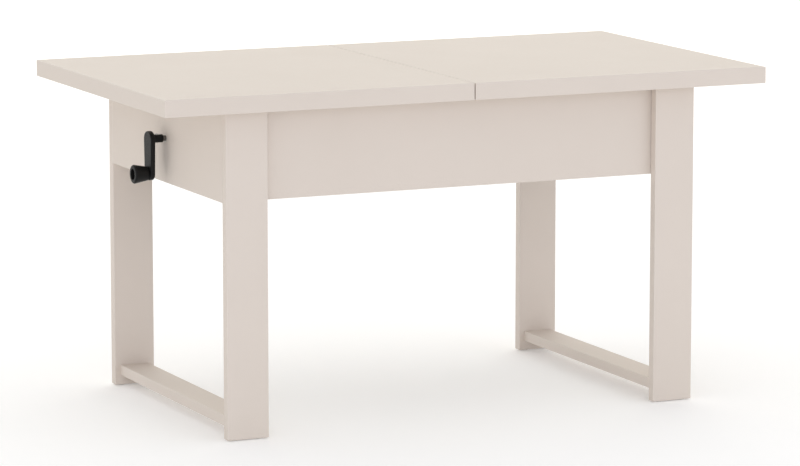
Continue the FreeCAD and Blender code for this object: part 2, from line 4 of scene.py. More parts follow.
import bmesh
import bpy
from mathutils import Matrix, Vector


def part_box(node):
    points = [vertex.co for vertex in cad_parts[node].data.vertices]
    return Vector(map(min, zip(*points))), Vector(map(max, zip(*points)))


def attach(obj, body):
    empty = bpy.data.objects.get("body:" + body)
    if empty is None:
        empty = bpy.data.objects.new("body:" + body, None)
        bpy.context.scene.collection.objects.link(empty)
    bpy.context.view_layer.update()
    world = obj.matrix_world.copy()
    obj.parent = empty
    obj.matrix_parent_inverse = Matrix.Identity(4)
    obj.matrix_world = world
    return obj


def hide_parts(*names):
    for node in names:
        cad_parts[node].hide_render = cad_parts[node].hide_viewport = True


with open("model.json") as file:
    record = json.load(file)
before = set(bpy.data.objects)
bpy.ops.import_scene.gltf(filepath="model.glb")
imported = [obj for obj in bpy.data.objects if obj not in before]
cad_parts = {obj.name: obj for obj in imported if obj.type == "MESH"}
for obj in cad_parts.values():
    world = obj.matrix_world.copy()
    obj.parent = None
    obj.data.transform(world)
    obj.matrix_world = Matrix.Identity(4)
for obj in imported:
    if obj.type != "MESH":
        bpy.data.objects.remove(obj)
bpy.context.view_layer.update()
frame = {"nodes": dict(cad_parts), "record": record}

# The coffee table in beige laminate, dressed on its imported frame. Sizes are in metres.
MM = 0.001

# Camera, solved from the edges of the table in the photograph
image_width = 800
focal_pixels = 4187.3
camera_place = (-3.2317, -7.1080, 1.5566)
camera_yaw = 0.42706
camera_pitch = 0.15891
camera_reach = 200.0
sensor_width = 36.0

# Studio: a bright floor, an even sky and soft boxes, each with its place, size, power and colour
cool_light = (0.788, 0.810, 1.0)
warm_light = (1.0, 0.972, 0.845)
floor_side = 60.0
floor_colour = (0.93, 0.93, 0.93, 1)
floor_glow = 0.14
sky_colour = (1.0, 1.0, 1.0, 1)
sky_strength = 0.832
table_middle = (0.0, 0.0, 0.4)
soft_boxes = {
    "front_box": ((-2.6, -6.0, 1.9), (3.0, 2.0), 31.6, cool_light),
    "right_box": ((3.5, -4.5, 1.6), (3.0, 2.0), 15.7, cool_light),
    "back_box": ((3.0, 8.0, 4.5), (12.0, 3.0), 192.0, warm_light),
    "low_back_box": ((2.0, 6.0, 1.2), (12.0, 1.5), 80.0, warm_light),
}

# Laminate
laminate_light = (0.735, 0.661, 0.596, 1)
laminate_dark = (0.715, 0.641, 0.576, 1)
laminate_gloss = 0.2
laminate_roughness = (0.54, 0.64)
laminate_gloss_size = 6 * MM
mottle_size = 0.18
fleck_size = 1.1 * MM
fleck_share = 0.35
fleck_depth = 0.02 * MM
# Edge band colour, lighter than the face: partly the band's own tone, partly a painted highlight of the
# rounded edges
band_and_highlight_colour = (0.760, 0.690, 0.628, 1)
band_and_highlight_share = 0.7
band_polish = 0.08
band_width = 2.0 * MM
band_blend = 0.2 * MM
joint_colour = (0.560, 0.487, 0.424, 1)
joint_share = 0.25
joint_width = 0.35 * MM
joint_depth = 0.08 * MM
# Painted shade: the legs darken in patches towards the floor
painted_low_shade_colour = (0.600, 0.540, 0.480, 1)
painted_low_shade_share = 0.2
painted_low_shade_height = 0.2
painted_low_shade_size = 25 * MM
painted_low_shade_patches = (0.7, 1.0)

# Range that a noise texture mostly stays in
noise_low = 0.3
noise_high = 0.7

# Rubbed edges: the range of the turn between a face and its rounded edge, and the size of the patches
rub_start = 0.99
rub_full = 0.85
rub_patch_size = 6 * MM
rub_samples = 8

# Parts of the frame that fittings sit on
bearing_plate_thickness = 5 * MM
bush_length = 6.5 * MM
tie_width = 30 * MM
pedestal_length = 20 * MM
pedestal_foot = 5 * MM
lever_thickness = 5 * MM
bracket_thickness = 2.5 * MM
channel_wall = 2 * MM
guide_wall = 1.5 * MM
guide_width = 36 * MM

# Cams and their bolts; a slot is a reach and a half width
cam_inset = 34 * MM
cam_radius = 7.5 * MM
cam_height = 12.5 * MM
cam_ease = 0.6 * MM
cam_ease_height = 0.5 * MM
cam_slot_mouth = (3.8 * MM, 0.95 * MM)
cam_slot_bottom = (3.2 * MM, 0.75 * MM)
cam_slot_depth = 2.2 * MM
cam_bolt_radius = 3.5 * MM
cam_bolt_length = 37.5 * MM
cam_bolt_neck_radius = 2.5 * MM
cam_bolt_neck_length = 4 * MM
cam_bolt_cone_length = 2 * MM
cam_bolt_tip_radius = 2.8 * MM
cam_bolt_tip_length = 1.5 * MM

# Screws and bolts
rail_screw = {"diameter": 9 * MM, "height": 3 * MM}
rail_screw_length = 15 * MM
rail_screw_shank = 2.25 * MM
rail_screw_sides = 24
bracket_screw = {"diameter": 7 * MM, "height": 2.2 * MM}
bracket_screw_inset = 14 * MM
bracket_screw_spacing = 26 * MM
channel_screw = {"diameter": 8 * MM, "height": 0.9 * MM}
channel_screw_insets = (12 * MM, 41 * MM)
bearer_screw = {"diameter": 7 * MM, "height": 2.0 * MM}
bearer_screw_insets = (10 * MM, 30 * MM)
bearer_screw_side_inset = 10 * MM
guide_screw = {"diameter": 7 * MM, "height": 1.8 * MM}
guide_screw_inset = 20 * MM
plate_bolt = {"across": 10 * MM, "height": 5 * MM}
plate_bolt_offset = 12 * MM
pedestal_bolt = {"radius": 4 * MM, "base": 0, "top": 4.5 * MM,
                 "ease": 0.5 * MM, "socket": 4 * MM, "depth": 2.7 * MM}
pedestal_bolt_inset = 7 * MM
set_screw = {"ease": 0.4 * MM, "socket": 2.5 * MM, "depth": 2 * MM}
knob_pin_head = {"ease": 0.6 * MM, "socket": 5 * MM, "depth": 2.6 * MM}
knob_pin_head_height = 4 * MM
knob_pin_radius = 4 * MM
knob_pin_ease = 0.5 * MM

# Welds and retaining rings
weld_radius = 2.2 * MM
weld_end_room = 1 * MM
weld_step = 0.5 * MM
weld_ripple = 1.6
weld_mean = 0.92
weld_swell = 0.10
weld_end_size = 0.5
weld_taper = 4
weld_sides = 12
ring_wall = 2.4 * MM
ring_ear = 2 * MM
ring_thickness = 1 * MM
ring_gap = 0.1 * MM
ring_ear_sharpness = 24
ring_sides = 72

# Lead screw
journal_radius = 5 * MM
shoulder_gap = 0.3 * MM
nut_run = 27.5 * MM
thread_run_out = 4.5 * MM
thread_ease = 1 * MM
thread_root = 5.4 * MM
thread_foot = 5.2 * MM
thread_height = 1.8 * MM
thread_pitch = 3 * MM
thread_steps = 24
thread_start = 0.1
thread_profile = ((0.0, 0.0), (0.2, 1.0), (0.52, 1.0), (0.72, 0.0))

# Foot glides, rollers and glide strips; an ease is a height above a face and a distance in from the rim
glide_inset = 16 * MM
glide_radius = 7 * MM
glide_height = 5 * MM
glide_eases = ((0, 1.8 * MM), (0.3 * MM, 0.7 * MM), (1.0 * MM, 0.15 * MM), (2.0 * MM, 0))
glide_hole_depth = 0.9 * MM
glide_hole_radius = 1.8 * MM
glide_hole_mouth = 2.6 * MM
roller_bore = 4.05 * MM
roller_hub = 6.0 * MM
roller_web_inner = 6.6 * MM
roller_web_outer = 9.0 * MM
roller_web_depth = 0.7 * MM
roller_rim_inner = 9.6 * MM
roller_eases = ((0, 1.0 * MM), (0.3 * MM, 0.3 * MM), (1.0 * MM, 0))
roller_sides = 64
strip_half_width = 5 * MM
strip_height = 0.75 * MM
strip_eases = ((0, 0), (0.3 * MM, 0), (0.6 * MM, 0.4 * MM), (strip_height, 1.2 * MM))
strip_end_room = 4 * MM

# Dowels, with a longer ease at the far tip
dowel_radius = 4 * MM
dowel_flute_depth = 0.3 * MM
dowel_flutes = 14
dowel_sides = 84
near_tip_radius = 3 * MM
near_tip_length = 1.2 * MM
far_tip_radius = 2.8 * MM
far_tip_length = 1.6 * MM

ENDS = (("left", -1), ("right", 1))
SIDES = (("front", -1), ("back", 1))
smooth_angle = math.radians(30)


def middle(name):
    """Middle of a node's box."""
    low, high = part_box(name)
    return (low + high) / 2


def middle_level(name):
    return middle(name)[2]


def corners():
    """Names and signs of the four corners of the table."""
    for end_name, end in ENDS:
        for side_name, side in SIDES:
            yield side_name + "_" + end_name, end, side


def node(tree, kind, inputs=None, **settings):
    """Add a shader node; an input that is a socket is linked, any other value is set."""
    made = tree.nodes.new("ShaderNode" + kind)
    for name, value in settings.items():
        setattr(made, name, value)
    for key, value in (inputs or {}).items():
        if isinstance(value, bpy.types.NodeSocket):
            tree.links.new(value, made.inputs[key])
        else:
            made.inputs[key].default_value = value
    return made


def place(tree):
    """Position in the table's own frame, in metres."""
    return node(tree, "TexCoord").outputs["Object"]


def maths(tree, operation, first, second=0.0):
    return node(tree, "Math", {0: first, 1: second}, operation=operation).outputs[0]


def vector_maths(tree, operation, first, second):
    return node(tree, "VectorMath", {0: first, 1: second}, operation=operation).outputs[0]


def ranged(tree, value, low, high, to_low=0.0, to_high=1.0):
    """Carry a value from one range to another, held at both ends."""
    inputs = {"Value": value, "From Min": low, "From Max": high, "To Min": to_low, "To Max": to_high}
    return node(tree, "MapRange", inputs).outputs[0]


def noise(tree, where, size, detail=2.0, to_low=0.0, to_high=1.0):
    """Noise with features of about the given size, in metres."""
    made = node(tree, "TexNoise", {"Vector": where, "Scale": 1 / size, "Detail": detail})
    return ranged(tree, made.outputs[0], noise_low, noise_high, to_low, to_high)


def mixed(tree, factor, first, second):
    made = node(tree, "Mix", {0: factor, 6: first, 7: second}, data_type="RGBA")
    return made.outputs[2]


def bumped(tree, height, distance, normal=None):
    inputs = {"Height": height, "Distance": distance, "Strength": 1.0}
    if normal is not None:
        inputs["Normal"] = normal
    return node(tree, "Bump", inputs).outputs[0]


def rubbed_edges(tree, where, radius):
    """Mask along the edges of a piece, in patches as handling leaves them."""
    rounded = node(tree, "Bevel", {"Radius": radius}, samples=rub_samples).outputs[0]
    facing = node(tree, "NewGeometry").outputs["Normal"]
    turn = node(tree, "VectorMath", {0: rounded, 1: facing}, operation="DOT_PRODUCT").outputs["Value"]
    patches = noise(tree, where, rub_patch_size, detail=4.0)
    return maths(tree, "MULTIPLY", ranged(tree, turn, rub_start, rub_full), patches)


def new_material(name, **values):
    """Material with constant values on its shader; returns it with its tree and a linking function."""
    material = bpy.data.materials.new(name)
    material.use_nodes = True
    tree = material.node_tree
    shader = tree.nodes["Principled BSDF"]
    for key, value in values.items():
        shader.inputs[key.replace("_", " ")].default_value = value

    def drive(key, socket):
        tree.links.new(socket, shader.inputs[key])

    return material, tree, drive


def edge_distance(tree, where, low, high):
    """Distance from a point on a board's face to the nearest edge of that face."""
    inside = vector_maths(tree, "SUBTRACT", where, low)
    outside = vector_maths(tree, "SUBTRACT", high, where)
    nearest = vector_maths(tree, "MINIMUM", inside, outside)
    parts = node(tree, "SeparateXYZ", {0: nearest}).outputs
    least = maths(tree, "MINIMUM", maths(tree, "MINIMUM", parts[0], parts[1]), parts[2])
    most = maths(tree, "MAXIMUM", maths(tree, "MAXIMUM", parts[0], parts[1]), parts[2])
    total = maths(tree, "ADD", maths(tree, "ADD", parts[0], parts[1]), parts[2])
    return maths(tree, "SUBTRACT", maths(tree, "SUBTRACT", total, least), most)


def laminate(name):
    """Matt laminate of one board: edge bands with a fine joint line, their lighter colour partly a painted
    highlight of the rounded edges, and painted shade darkening the legs in patches towards the floor.
    """
    material, tree, drive = new_material("laminate_" + name, Specular_IOR_Level=laminate_gloss)
    where = place(tree)
    low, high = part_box(name)
    distance = edge_distance(tree, where, low, high)
    band = ranged(tree, distance, band_width + band_blend, band_width - band_blend)
    off_joint = maths(tree, "ABSOLUTE", maths(tree, "SUBTRACT", distance, band_width))
    joint = ranged(tree, off_joint, joint_width, 0.0)
    mottle = noise(tree, where, mottle_size, detail=3.0)
    fleck = noise(tree, where, fleck_size)
    colour = mixed(tree, mottle, laminate_light, laminate_dark)
    colour = mixed(tree, maths(tree, "MULTIPLY", fleck, fleck_share), colour, laminate_dark)
    # Lighter band near each face edge: partly the edge band, partly a painted highlight of the rounded edge
    colour = mixed(tree, maths(tree, "MULTIPLY", band, band_and_highlight_share), colour, band_and_highlight_colour)
    colour = mixed(tree, maths(tree, "MULTIPLY", joint, joint_share), colour, joint_colour)
    # Painted shade: the lower legs are darkened in patches towards the floor
    if name.startswith("leg_"):
        height = node(tree, "SeparateXYZ", {0: where}).outputs[2]
        painted_low_shade = ranged(tree, height, painted_low_shade_height, 0.0, 0.0, painted_low_shade_share)
        painted_low_shade = maths(tree, "MULTIPLY", painted_low_shade, noise(tree, where, painted_low_shade_size, 5.0, *painted_low_shade_patches))
        colour = mixed(tree, painted_low_shade, colour, painted_low_shade_colour)
    drive("Base Color", colour)
    gloss = noise(tree, where, laminate_gloss_size, 3.0, *laminate_roughness)
    drive("Roughness", maths(tree, "SUBTRACT", gloss, maths(tree, "MULTIPLY", band, band_polish)))
    grain = bumped(tree, fleck, fleck_depth)
    drive("Normal", bumped(tree, maths(tree, "SUBTRACT", 1.0, joint), joint_depth, grain))
    return material


def mottled(name, light, dark, cloud_size, worn, rub_radius, rub_share, roughness, gloss_size,
            grain_size, grain_depth, rub_polish=0.0, **values):
    """Material with clouds of two colours, rubbed edges, uneven gloss and a fine grain."""
    material, tree, drive = new_material(name, **values)
    where = place(tree)
    colour = mixed(tree, noise(tree, where, cloud_size, detail=4.0), light, dark)
    rubbed = rubbed_edges(tree, where, rub_radius)
    drive("Base Color", mixed(tree, maths(tree, "MULTIPLY", rubbed, rub_share), colour, worn))
    gloss = noise(tree, where, gloss_size, 3.0, *roughness)
    drive("Roughness", maths(tree, "SUBTRACT", gloss, maths(tree, "MULTIPLY", rubbed, rub_polish)))
    drive("Normal", bumped(tree, noise(tree, where, grain_size, detail=3.0), grain_depth))
    return material


def black_plastic():
    """Moulded plastic with a fine spark-eroded texture, its edges rubbed paler by hands."""
    return mottled("black_plastic", Specular_IOR_Level=0.17,
                   light=(0.006, 0.006, 0.006, 1), dark=(0.010, 0.0098, 0.0095, 1), cloud_size=12 * MM,
                   worn=(0.030, 0.029, 0.028, 1), rub_radius=0.8 * MM, rub_share=0.4, rub_polish=0.12,
                   roughness=(0.42, 0.54), gloss_size=3 * MM, grain_size=0.35 * MM, grain_depth=0.03 * MM)


def zinc():
    """Zinc-plated steel with faint passivation clouds and brighter edges."""
    return mottled("zinc", Metallic=1.0,
                   light=(0.60, 0.61, 0.62, 1), dark=(0.52, 0.52, 0.50, 1), cloud_size=9 * MM,
                   worn=(0.72, 0.72, 0.71, 1), rub_radius=0.5 * MM, rub_share=1.0,
                   roughness=(0.26, 0.42), gloss_size=2 * MM, grain_size=0.5 * MM, grain_depth=0.01 * MM)


def black_steel():
    """Dark phosphated steel, oiled, with lighter rubbed clouds and edges."""
    return mottled("black_steel", Metallic=1.0,
                   light=(0.150, 0.142, 0.136, 1), dark=(0.220, 0.206, 0.194, 1), cloud_size=7 * MM,
                   worn=(0.30, 0.29, 0.28, 1), rub_radius=0.4 * MM, rub_share=0.6,
                   roughness=(0.32, 0.46), gloss_size=2 * MM, grain_size=0.5 * MM, grain_depth=0.01 * MM)


def painted_steel():
    """Dark powder coat with its orange peel, thin and paler on the edges."""
    return mottled("painted_steel",
                   light=(0.028, 0.028, 0.030, 1), dark=(0.036, 0.036, 0.037, 1), cloud_size=40 * MM,
                   worn=(0.16, 0.16, 0.16, 1), rub_radius=0.7 * MM, rub_share=0.6, rub_polish=0.1,
                   roughness=(0.40, 0.52), gloss_size=5 * MM, grain_size=1.3 * MM, grain_depth=0.06 * MM)


def brass():
    """Machined brass, a little tarnished away from its edges."""
    return mottled("brass", Metallic=1.0,
                   light=(0.72, 0.52, 0.22, 1), dark=(0.60, 0.41, 0.16, 1), cloud_size=8 * MM,
                   worn=(0.82, 0.64, 0.32, 1), rub_radius=0.6 * MM, rub_share=1.0,
                   roughness=(0.28, 0.42), gloss_size=2 * MM, grain_size=0.6 * MM, grain_depth=0.01 * MM)


def nylon():
    """Natural nylon with faint flow clouds and polished edges."""
    return mottled("nylon",
                   light=(0.74, 0.72, 0.66, 1), dark=(0.68, 0.66, 0.60, 1), cloud_size=6 * MM,
                   worn=(0.78, 0.76, 0.71, 1), rub_radius=0.4 * MM, rub_share=0.6, rub_polish=0.08,
                   roughness=(0.36, 0.46), gloss_size=2 * MM, grain_size=0.5 * MM, grain_depth=0.01 * MM)


def aluminium():
    """Extruded aluminium with die lines along the table."""
    bright = (0.70, 0.71, 0.72, 1)
    dull = (0.62, 0.63, 0.64, 1)
    roughness = (0.30, 0.42)
    stretch = (0.01, 1.0, 1.0)
    line_size = 0.6 * MM
    line_depth = 0.015 * MM
    material, tree, drive = new_material("aluminium", Metallic=1.0)
    where = vector_maths(tree, "MULTIPLY", place(tree), stretch)
    lines = noise(tree, where, line_size, detail=3.0)
    drive("Base Color", mixed(tree, lines, bright, dull))
    drive("Roughness", ranged(tree, lines, 0.0, 1.0, *roughness))
    drive("Normal", bumped(tree, lines, line_depth))
    return material


def beech(name, along):
    """Beech with its grain along one axis and short darker rays."""
    pale = (0.60, 0.40, 0.24, 1)
    deep = (0.50, 0.31, 0.17, 1)
    ray = (0.36, 0.20, 0.10, 1)
    roughness = (0.48, 0.62)
    grain_size = 2.5 * MM
    ray_size = 0.7 * MM
    ray_share = 0.3
    ray_depth = 0.04 * MM
    material, tree, drive = new_material("beech_" + name)
    stretch = [1.0, 1.0, 1.0]
    stretch[along] = 0.06
    where = vector_maths(tree, "MULTIPLY", place(tree), stretch)
    grain = noise(tree, where, grain_size, detail=4.0)
    rays = noise(tree, where, ray_size)
    wood = mixed(tree, grain, pale, deep)
    drive("Base Color", mixed(tree, maths(tree, "MULTIPLY", rays, ray_share), wood, ray))
    drive("Roughness", ranged(tree, grain, 0.0, 1.0, *roughness))
    drive("Normal", bumped(tree, rays, ray_depth))
    return material


def dress(name, material):
    """Give a CAD node its material."""
    slots = frame["nodes"][name].data.materials
    slots.clear()
    slots.append(material)


def dress_nodes():
    """Give every CAD node the material of its slot; returns the shared materials."""
    makers = (black_plastic, zinc, black_steel, painted_steel, aluminium, brass, nylon)
    shared = {maker.__name__: maker() for maker in makers}
    for row in frame["record"]["subparts"]:
        name = row["node"]
        slot = row["material_slot"]
        if slot == "laminate":
            dress(name, laminate(name))
        elif slot == "beech":
            dress(name, beech(name, 0 if name == "seam_dowels" else 1))
        else:
            dress(name, shared[slot])
    return shared


def circle(radius):
    return lambda angle: radius


def hexagon(across):
    """Outline of a hexagon by its width across flats."""
    sixth = math.pi / 3
    return lambda angle: across / 2 / math.cos((angle + sixth / 2) % sixth - sixth / 2)


def cross(reach, half_width):
    """Outline of a cross recess by the reach and the half width of its arms."""
    def outline(angle):
        folded = (angle + math.pi / 4) % (math.pi / 2) - math.pi / 4
        arm = reach / math.cos(folded)
        if arm * abs(math.sin(folded)) <= half_width:
            return arm
        return half_width / abs(math.sin(folded))
    return outline


def fluted(radius, depth, count):
    return lambda angle: radius - depth * (0.5 + 0.5 * math.cos(count * angle))


def eared(radius, ear):
    """Outline of a retaining ring with one ear."""
    return lambda angle: radius + ear * max(0.0, math.cos(angle)) ** ring_ear_sharpness


def turned(shape, rings, origin, axis, segments=48, closed=False):
    """Skin through outlines set along an axis; None is a point that closes an end."""
    axis = Vector(axis).normalized()
    side = axis.orthogonal().normalized()
    other = axis.cross(side)
    angles = [math.tau * step / segments for step in range(segments)]
    spokes = [side * math.cos(angle) + other * math.sin(angle) for angle in angles]
    loops = []
    for along, outline in rings:
        centre = Vector(origin) + axis * along
        if outline is None:
            loops.append([shape.verts.new(centre)] * segments)
            continue
        if not callable(outline):
            outline = circle(outline)
        points = [centre + spoke * outline(angle) for spoke, angle in zip(spokes, angles)]
        loops.append([shape.verts.new(point) for point in points])
    if closed:
        loops.append(loops[0])
    for first, second in zip(loops, loops[1:]):
        for step in range(segments):
            after = (step + 1) % segments
            around = [first[step], first[after], second[after], second[step]]
            shape.faces.new(list(dict.fromkeys(around)))


def piece(name, shape, material, body, replaced=()):
    """Make an object of a built shape, let it ride on its body and stand for CAD nodes."""
    bmesh.ops.recalc_face_normals(shape, faces=shape.faces)
    mesh = bpy.data.meshes.new(name)
    shape.to_mesh(mesh)
    shape.free()
    mesh.materials.append(material)
    mesh.shade_smooth()
    mesh.set_sharp_from_angle(angle=smooth_angle)
    made = bpy.data.objects.new(name, mesh)
    bpy.context.scene.collection.objects.link(made)
    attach(made, body)
    if replaced:
        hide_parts(*replaced)


def pan_screw(shape, origin, axis, diameter, height):
    """Pan head with a cross recess."""
    radius = diameter / 2
    rim = 0.35 * height
    shoulder = 0.75 * height
    floor = 0.45 * height
    mouth = cross(0.52 * radius, 0.13 * radius)
    bottom = cross(0.40 * radius, 0.10 * radius)
    rings = [(0, None), (0, radius), (rim, radius), (shoulder, 0.88 * radius),
             (height, 0.62 * radius), (height, mouth), (floor, bottom), (floor, None)]
    turned(shape, rings, origin, axis)


def hex_bolt(shape, origin, axis, across, height):
    """Hexagon head on a washer."""
    washer = 0.2 * height
    rim = 0.7 * across
    flats_end = 0.9 * height
    face = 0.44 * across
    rings = [(0, None), (0, rim), (washer, rim), (washer, hexagon(0.98 * across)),
             (flats_end, hexagon(across)), (height, face), (height, None)]
    turned(shape, rings, origin, axis)


def socket_head(radius, base, top, ease, socket, depth):
    """Rings of a round head from its base to its top, with a hexagon socket."""
    return [(base, radius), (top - ease, radius), (top, radius - ease), (top, hexagon(socket)),
            (top - depth, hexagon(socket)), (top - depth, None)]


def weld_ring(shape, centre, radius, ripples=22, segments=66, around=10):
    """Rippled weld bead about a shaft along Y."""
    loops = []
    turns = [math.tau * part / around for part in range(around)]
    for step in range(segments):
        angle = math.tau * step / segments
        bead = weld_radius * (weld_mean + weld_swell * math.sin(ripples * angle))
        out = Vector((math.cos(angle), 0, math.sin(angle)))
        core = Vector(centre) + out * radius
        spokes = [out * math.cos(turn) + Vector((0, math.sin(turn), 0)) for turn in turns]
        loops.append([shape.verts.new(core + spoke * bead) for spoke in spokes])
    for first, second in zip(loops, loops[1:] + loops[:1]):
        for part in range(around):
            after = (part + 1) % around
            shape.faces.new((first[part], first[after], second[after], second[part]))


def weld_line(shape, start, end):
    """Rippled weld bead between two points, tapered at both ends."""
    run = Vector(end) - Vector(start)
    steps = round(run.length / weld_step)
    rings = [(0, None)]
    for step in range(steps + 1):
        taper = min(1.0, weld_end_size + weld_taper * min(step, steps - step) / steps)
        ripple = weld_mean + weld_swell * math.sin(weld_ripple * step)
        rings.append((run.length * step / steps, weld_radius * taper * ripple))
    rings.append((run.length, None))
    turned(shape, rings, start, run, weld_sides)


def screw_thread(shape, start, end, level, hand):
    """Trapezoidal thread of one hand about the X axis, rising from the core over its first and last turn."""
    rows = []
    steps = round((end - start) / thread_pitch * thread_steps)
    for step in range(steps + 1):
        angle = hand * math.tau * step / thread_steps
        base = start + thread_pitch * step / thread_steps
        rise = min(1.0, thread_start + min(step, steps - step) / thread_steps)
        row = []
        for along, height in thread_profile:
            radius = thread_foot + thread_height * rise * height
            point = (base + along * thread_pitch, radius * math.cos(angle), level + radius * math.sin(angle))
            row.append(shape.verts.new(point))
        rows.append(row)
    sides = len(thread_profile)
    for first, second in zip(rows, rows[1:]):
        for part in range(sides):
            after = (part + 1) % sides
            shape.faces.new((first[part], first[after], second[after], second[part]))
    shape.faces.new(rows[0])
    shape.faces.new(rows[-1])


def make_lead_screw(material):
    """Lead screw with turned-down journals, and a thread of each hand where the nuts run."""
    low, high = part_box("lead_screw")
    level = middle_level("lead_screw")
    radius = (high[2] - low[2]) / 2
    thick_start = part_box("crank_bush")[1][0] + shoulder_gap
    thick_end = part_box("screw_pedestals")[1][0] - pedestal_length - shoulder_gap
    inner_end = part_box("screw_nut_right")[0][0] - nut_run
    outer_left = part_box("thrust_collars")[1][0] + thread_run_out
    zones = ((outer_left, -inner_end, -1), (inner_end, thick_end - thread_run_out, 1))
    chamfer = thread_ease / 2
    shape = bmesh.new()
    profile = [(low[0], None), (low[0], journal_radius - chamfer), (low[0] + chamfer, journal_radius),
               (thick_start, journal_radius), (thick_start, radius)]
    for start, end, hand in zones:
        profile += [(start - thread_ease, radius), (start, thread_root)]
        profile += [(end + thread_pitch, thread_root), (end + thread_pitch + thread_ease, radius)]
        screw_thread(shape, start - thread_pitch / 4, end + thread_pitch / 2, level, hand)
    profile += [(thick_end, radius), (thick_end, journal_radius), (high[0] - chamfer, journal_radius),
                (high[0], journal_radius - chamfer), (high[0], None)]
    rings = [(along - low[0], outline) for along, outline in profile]
    turned(shape, rings, (low[0], 0, level), (1, 0, 0))
    piece("threaded_lead_screw", shape, material, "crank", ("lead_screw",))


def make_cams(material):
    """Cams with a cross slot, and their bolts, in the end panels and under the stretchers."""
    leg_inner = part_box("leg_back_right")[0][1]
    panel_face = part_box("end_panel_right")[0][0]
    panel = middle("end_panel_right")
    stretcher = middle("stretcher_right")
    stretcher_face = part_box("stretcher_right")[0][2]
    cam = [(cam_slot_depth, None), (cam_slot_depth, cross(*cam_slot_bottom)), (0, cross(*cam_slot_mouth)),
           (0, cam_radius - cam_ease), (cam_ease_height, cam_radius), (cam_height, cam_radius),
           (cam_height, None)]
    cone_end = cam_bolt_neck_length + cam_bolt_cone_length
    bolt = [(0, None), (0, cam_bolt_neck_radius), (cam_bolt_neck_length, cam_bolt_neck_radius),
            (cone_end, cam_bolt_radius), (cam_bolt_length - cam_bolt_tip_length, cam_bolt_radius),
            (cam_bolt_length, cam_bolt_tip_radius), (cam_bolt_length, None)]
    shape = bmesh.new()
    for _, end, side in corners():
        cam_across = side * (leg_inner - cam_inset)
        bolt_across = side * (leg_inner - cam_inset + cam_radius)
        turned(shape, cam, (end * panel_face, cam_across, panel[2]), (end, 0, 0))
        turned(shape, cam, (end * stretcher[0], cam_across, stretcher_face), (0, 0, 1))
        turned(shape, bolt, (end * panel[0], bolt_across, panel[2]), (0, side, 0))
        turned(shape, bolt, (end * stretcher[0], bolt_across, stretcher[2]), (0, side, 0))
    piece("slotted_cams", shape, material, "base", ("cam_fittings",))


def make_rail_screws(material):
    """Screws through the end plates of the rails into the end panels."""
    low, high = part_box("rail_screws")
    inset = rail_screw["diameter"] / 2
    taper_start = 0.8 * rail_screw_length
    shank = [(0, None), (0, rail_screw_shank), (taper_start, rail_screw_shank),
             (rail_screw_length, rail_screw_shank / 3), (rail_screw_length, None)]
    shape = bmesh.new()
    for _, end, side in corners():
        for level in (low[2] + inset, high[2] - inset):
            origin = (end * (high[0] - rail_screw_length), side * (high[1] - inset), level)
            pan_screw(shape, origin, (-end, 0, 0), **rail_screw)
            turned(shape, shank, origin, (end, 0, 0), rail_screw_sides)
    piece("cross_head_rail_screws", shape, material, "base", ("rail_screws",))


def make_frame_bolts(material):
    """Bolts of the bearing plates and of the screw pedestals."""
    shaft = middle("torsion_shaft_right")
    plate_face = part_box("bearing_plates")[1][1] - bearing_plate_thickness
    rail_middle = (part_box("frame_rail_back")[0][2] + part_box("cross_ties")[0][2]) / 2
    pedestal_low, pedestal_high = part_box("screw_pedestals")
    foot_top = pedestal_low[2] + pedestal_foot
    shape = bmesh.new()
    for _, end, side in corners():
        for offset in (-plate_bolt_offset, plate_bolt_offset):
            origin = (end * shaft[0] + offset, side * plate_face, rail_middle)
            hex_bolt(shape, origin, (0, -side, 0), **plate_bolt)
        along = end * (pedestal_high[0] - pedestal_length / 2)
        across = side * (pedestal_high[1] - pedestal_bolt_inset)
        head = [(0, None)] + socket_head(**pedestal_bolt)
        turned(shape, head, (along, across, foot_top), (0, 0, 1))
    piece("frame_bolts", shape, material, "base")


def make_frame_welds(material):
    """Beads between the cross ties and the rails."""
    tie_low, tie_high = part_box("cross_ties")
    rail_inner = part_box("bearing_plates")[1][1] + weld_end_room
    rail_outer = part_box("frame_rail_back")[1][1] - weld_end_room
    shape = bmesh.new()
    for _, end, side in corners():
        for along in (tie_high[0] - tie_width, tie_high[0]):
            start = (end * along, side * rail_inner, tie_low[2])
            weld_line(shape, start, (end * along, side * rail_outer, tie_low[2]))
    piece("frame_welds", shape, material, "base")


def make_arm_details(shared):
    """Beads at the hubs of the lift arms and levers, and retaining rings inside the bearings."""
    lever_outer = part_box("slotted_levers_right")[1][1]
    arm_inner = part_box("lift_arm_back_right")[0][1]
    bush_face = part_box("shaft_bushes")[1][1] - bush_length
    for end_name, _ in ENDS:
        shaft = middle("torsion_shaft_" + end_name)
        shaft_low, shaft_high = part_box("torsion_shaft_" + end_name)
        radius = (shaft_high[2] - shaft_low[2]) / 2
        outline = eared(radius + ring_wall, ring_ear)
        profile = [(0, radius), (0, outline), (ring_thickness, outline), (ring_thickness, radius)]
        welds = bmesh.new()
        rings = bmesh.new()
        for _, side in SIDES:
            for across in (lever_outer - lever_thickness, lever_outer, arm_inner):
                weld_ring(welds, (shaft[0], side * across, shaft[2]), radius)
            ring_start = (shaft[0], side * (bush_face - ring_gap), shaft[2])
            turned(rings, profile, ring_start, (0, -side, 0), ring_sides, closed=True)
        body = "arms_" + end_name
        piece("arm_welds_" + end_name, welds, shared["painted_steel"], body)
        piece("retaining_rings_" + end_name, rings, shared["black_steel"], body)


